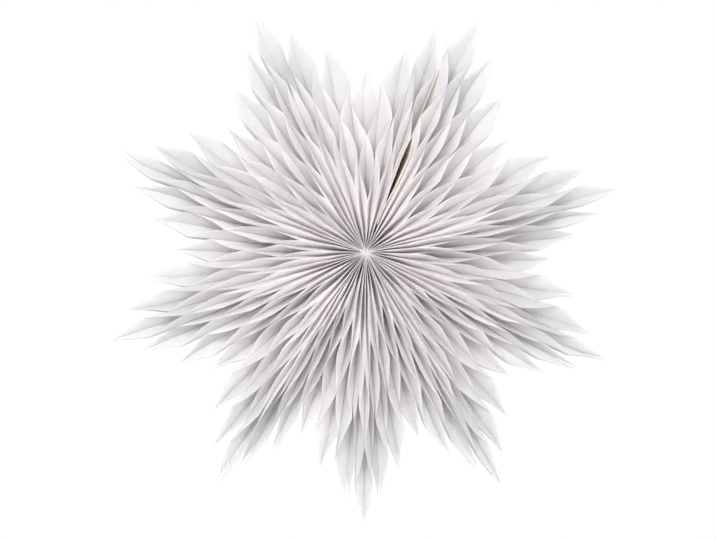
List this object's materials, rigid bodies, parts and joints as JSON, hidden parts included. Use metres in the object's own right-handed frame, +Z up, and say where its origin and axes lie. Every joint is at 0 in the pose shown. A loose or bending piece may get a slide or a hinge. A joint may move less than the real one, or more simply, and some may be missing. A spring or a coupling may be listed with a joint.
{
  "type": "folded paper star pendant",
  "caption": "Flat many-pointed hanging star of glued paper leaves that fan open round a hub axis, with card covers at the seam.",
  "frame": {"origin": "middle of the outer punched hole in the first cover, which the star hangs from", "axes": "+Z up as the picture shows the star, +Y along the hub axis from front to back, +X to the right seen from the front"},
  "size_m": [0.574, 0.14, 0.5733],
  "materials": {
    "paper": "matt uncoated white paper, slightly translucent",
    "card": "plain cream card"
  },
  "bodies": {
    "first_cover": {"cover_first": "card"},
    "point_1": {"leaf_01": "paper", "leaf_02": "paper", "leaf_03": "paper", "leaf_04": "paper", "leaf_05": "paper", "leaf_06": "paper"},
    "point_2": {"leaf_07": "paper", "leaf_08": "paper", "leaf_09": "paper", "leaf_10": "paper", "leaf_11": "paper", "leaf_12": "paper"},
    "point_3": {"leaf_13": "paper", "leaf_14": "paper", "leaf_15": "paper", "leaf_16": "paper", "leaf_17": "paper", "leaf_18": "paper"},
    "point_4": {"leaf_19": "paper", "leaf_20": "paper", "leaf_21": "paper", "leaf_22": "paper", "leaf_23": "paper", "leaf_24": "paper"},
    "point_5": {"leaf_25": "paper", "leaf_26": "paper", "leaf_27": "paper", "leaf_28": "paper", "leaf_29": "paper", "leaf_30": "paper"},
    "point_6": {"leaf_31": "paper", "leaf_32": "paper", "leaf_33": "paper", "leaf_34": "paper", "leaf_35": "paper", "leaf_36": "paper"},
    "point_7": {"leaf_37": "paper", "leaf_38": "paper", "leaf_39": "paper", "leaf_40": "paper", "leaf_41": "paper", "leaf_42": "paper"},
    "point_8": {"leaf_43": "paper", "leaf_44": "paper", "leaf_45": "paper", "leaf_46": "paper", "leaf_47": "paper", "leaf_48": "paper"},
    "point_9": {"leaf_49": "paper", "leaf_50": "paper", "leaf_51": "paper", "leaf_52": "paper", "leaf_53": "paper", "leaf_54": "paper"},
    "last_cover": {"cover_last": "card"}
  },
  "joints": [
    {"name": "first_cover_fold", "type": "hinge", "parent": "first_cover", "child": "point_1", "pos_m": [-0.0398, 0.04, -0.10629], "axis": [0, 1, 0], "range_deg": [0, 22.71], "deforming": ["leaf_01", "leaf_02", "leaf_03", "leaf_04", "leaf_05", "leaf_06"]},
    {"name": "fan_fold", "type": "hinge", "parent": "point_1", "child": "point_2", "pos_m": [-0.0398, 0.04, -0.10629], "axis": [0, 1, 0], "range_deg": [0, 44.13], "deforming": ["leaf_07", "leaf_08", "leaf_09", "leaf_10", "leaf_11", "leaf_12"]},
    {"name": "fan_fold_2", "type": "hinge", "parent": "point_2", "child": "point_3", "pos_m": [-0.0398, 0.04, -0.10629], "axis": [0, 1, 0], "range_deg": [0, 40.87], "deforming": ["leaf_13", "leaf_14", "leaf_15", "leaf_16", "leaf_17", "leaf_18"]},
    {"name": "fan_fold_3", "type": "hinge", "parent": "point_3", "child": "point_4", "pos_m": [-0.0398, 0.04, -0.10629], "axis": [0, 1, 0], "range_deg": [0, 38.2], "deforming": ["leaf_19", "leaf_20", "leaf_21", "leaf_22", "leaf_23", "leaf_24"]},
    {"name": "fan_fold_4", "type": "hinge", "parent": "point_4", "child": "point_5", "pos_m": [-0.0398, 0.04, -0.10629], "axis": [0, 1, 0], "range_deg": [0, 34.75], "deforming": ["leaf_25", "leaf_26", "leaf_27", "leaf_28", "leaf_29", "leaf_30"]},
    {"name": "fan_fold_5", "type": "hinge", "parent": "point_5", "child": "point_6", "pos_m": [-0.0398, 0.04, -0.10629], "axis": [0, 1, 0], "range_deg": [0, 31.72], "deforming": ["leaf_31", "leaf_32", "leaf_33", "leaf_34", "leaf_35", "leaf_36"]},
    {"name": "fan_fold_6", "type": "hinge", "parent": "point_6", "child": "point_7", "pos_m": [-0.0398, 0.04, -0.10629], "axis": [0, 1, 0], "range_deg": [0, 32.42], "deforming": ["leaf_37", "leaf_38", "leaf_39", "leaf_40", "leaf_41", "leaf_42"]},
    {"name": "fan_fold_7", "type": "hinge", "parent": "point_7", "child": "point_8", "pos_m": [-0.0398, 0.04, -0.10629], "axis": [0, 1, 0], "range_deg": [0, 36.21], "deforming": ["leaf_43", "leaf_44", "leaf_45", "leaf_46", "leaf_47", "leaf_48"]},
    {"name": "fan_fold_8", "type": "hinge", "parent": "point_8", "child": "point_9", "pos_m": [-0.0398, 0.04, -0.10629], "axis": [0, 1, 0], "range_deg": [0, 42.8], "deforming": ["leaf_49", "leaf_50", "leaf_51", "leaf_52", "leaf_53", "leaf_54"]},
    {"name": "last_cover_fold", "type": "hinge", "parent": "point_9", "child": "last_cover", "pos_m": [-0.0398, 0.04, -0.10629], "axis": [0, 1, 0], "range_deg": [0, 23.28]}
  ],
  "couplings": [
    {"joint": "first_cover_fold", "follows": "fan_fold", "ratio": 0.51432},
    {"joint": "fan_fold_2", "follows": "fan_fold", "ratio": 0.92573},
    {"joint": "fan_fold_3", "follows": "fan_fold", "ratio": 0.86542},
    {"joint": "fan_fold_4", "follows": "fan_fold", "ratio": 0.78721},
    {"joint": "fan_fold_5", "follows": "fan_fold", "ratio": 0.71846},
    {"joint": "fan_fold_6", "follows": "fan_fold", "ratio": 0.73442},
    {"joint": "fan_fold_7", "follows": "fan_fold", "ratio": 0.82015},
    {"joint": "fan_fold_8", "follows": "fan_fold", "ratio": 0.96951},
    {"joint": "last_cover_fold", "follows": "fan_fold", "ratio": 0.52717}
  ]
}
